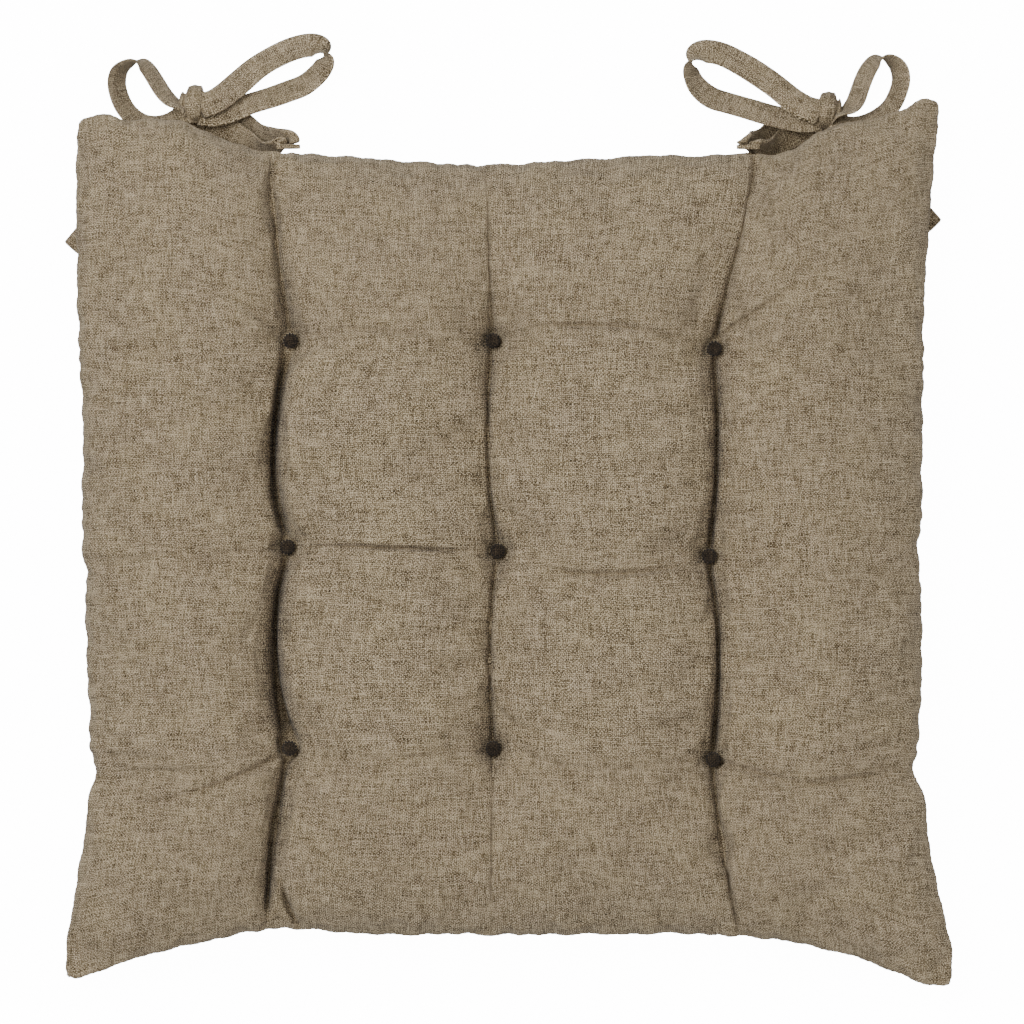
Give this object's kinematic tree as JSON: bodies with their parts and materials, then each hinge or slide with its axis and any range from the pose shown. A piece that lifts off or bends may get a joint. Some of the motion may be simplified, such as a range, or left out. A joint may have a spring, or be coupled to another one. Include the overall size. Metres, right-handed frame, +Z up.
{
  "type": "seat cushion",
  "caption": "Square button-tufted chair pad in a linen-look cloth, filled with fibre, with a bow-tied pair of cloth ties at each rear corner.",
  "frame": {"origin": "middle of the pad's box without the ties, on the surface it rests on", "axes": "+X to the sitter's right, +Y to the back of the chair, where the ties are, +Z up"},
  "size_m": [0.4066, 0.4366, 0.0599],
  "materials": {
    "cover_cloth": "matt linen-look plain weave, tan and brown yarns",
    "button_cloth": "the cover's cloth, stretched over a button",
    "tie_cloth": "the cover's cloth, folded into a flat tie",
    "seam_thread": "spun sewing thread",
    "filling_fibre": "hollow fibre filling",
    "tufting_twine": "waxed twine",
    "plated_wire": "plated steel button back and eye",
    "under_button_plastic": "moulded two-hole button"
  },
  "bodies": {
    "cushion": {"cover_top": "cover_cloth", "cover_bottom": "cover_cloth", "filling": "filling_fibre", "edge_seam_thread": "seam_thread", "left_tie_end": "tie_cloth", "right_tie_end": "tie_cloth", "button_cap_front_left": "button_cloth", "button_plate_front_left": "plated_wire", "tuft_twine_front_left": "tufting_twine", "under_button_front_left": "under_button_plastic", "button_cap_front_centre": "button_cloth", "button_plate_front_centre": "plated_wire", "tuft_twine_front_centre": "tufting_twine", "under_button_front_centre": "under_button_plastic", "button_cap_front_right": "button_cloth", "button_plate_front_right": "plated_wire", "tuft_twine_front_right": "tufting_twine", "under_button_front_right": "under_button_plastic", "button_cap_middle_left": "button_cloth", "button_plate_middle_left": "plated_wire", "tuft_twine_middle_left": "tufting_twine", "under_button_middle_left": "under_button_plastic", "button_cap_middle_centre": "button_cloth", "button_plate_middle_centre": "plated_wire", "tuft_twine_middle_centre": "tufting_twine", "under_button_middle_centre": "under_button_plastic", "button_cap_middle_right": "button_cloth", "button_plate_middle_right": "plated_wire", "tuft_twine_middle_right": "tufting_twine", "under_button_middle_right": "under_button_plastic", "button_cap_rear_left": "button_cloth", "button_plate_rear_left": "plated_wire", "tuft_twine_rear_left": "tufting_twine", "under_button_rear_left": "under_button_plastic", "button_cap_rear_centre": "button_cloth", "button_plate_rear_centre": "plated_wire", "tuft_twine_rear_centre": "tufting_twine", "under_button_rear_centre": "under_button_plastic", "button_cap_rear_right": "button_cloth", "button_plate_rear_right": "plated_wire", "tuft_twine_rear_right": "tufting_twine", "under_button_rear_right": "under_button_plastic"},
    "left_bow": {"left_knot": "tie_cloth", "left_inner_tie": "tie_cloth", "left_outer_tie": "tie_cloth", "left_inner_loop": "tie_cloth", "left_outer_loop": "tie_cloth", "left_inner_tail": "tie_cloth", "left_outer_tail": "tie_cloth"},
    "right_bow": {"right_knot": "tie_cloth", "right_inner_tie": "tie_cloth", "right_outer_tie": "tie_cloth", "right_inner_loop": "tie_cloth", "right_outer_loop": "tie_cloth", "right_inner_tail": "tie_cloth", "right_outer_tail": "tie_cloth"}
  },
  "joints": [
    {"name": "left_bow_flop", "type": "hinge", "parent": "cushion", "child": "left_bow", "pos_m": [-0.1, 0.1814, 0.027], "axis": [1, 0, 0], "range_deg": [0, 90]},
    {"name": "right_bow_flop", "type": "hinge", "parent": "cushion", "child": "right_bow", "pos_m": [0.109, 0.1813, 0.0267], "axis": [1, 0, 0], "range_deg": [0, 90]}
  ]
}
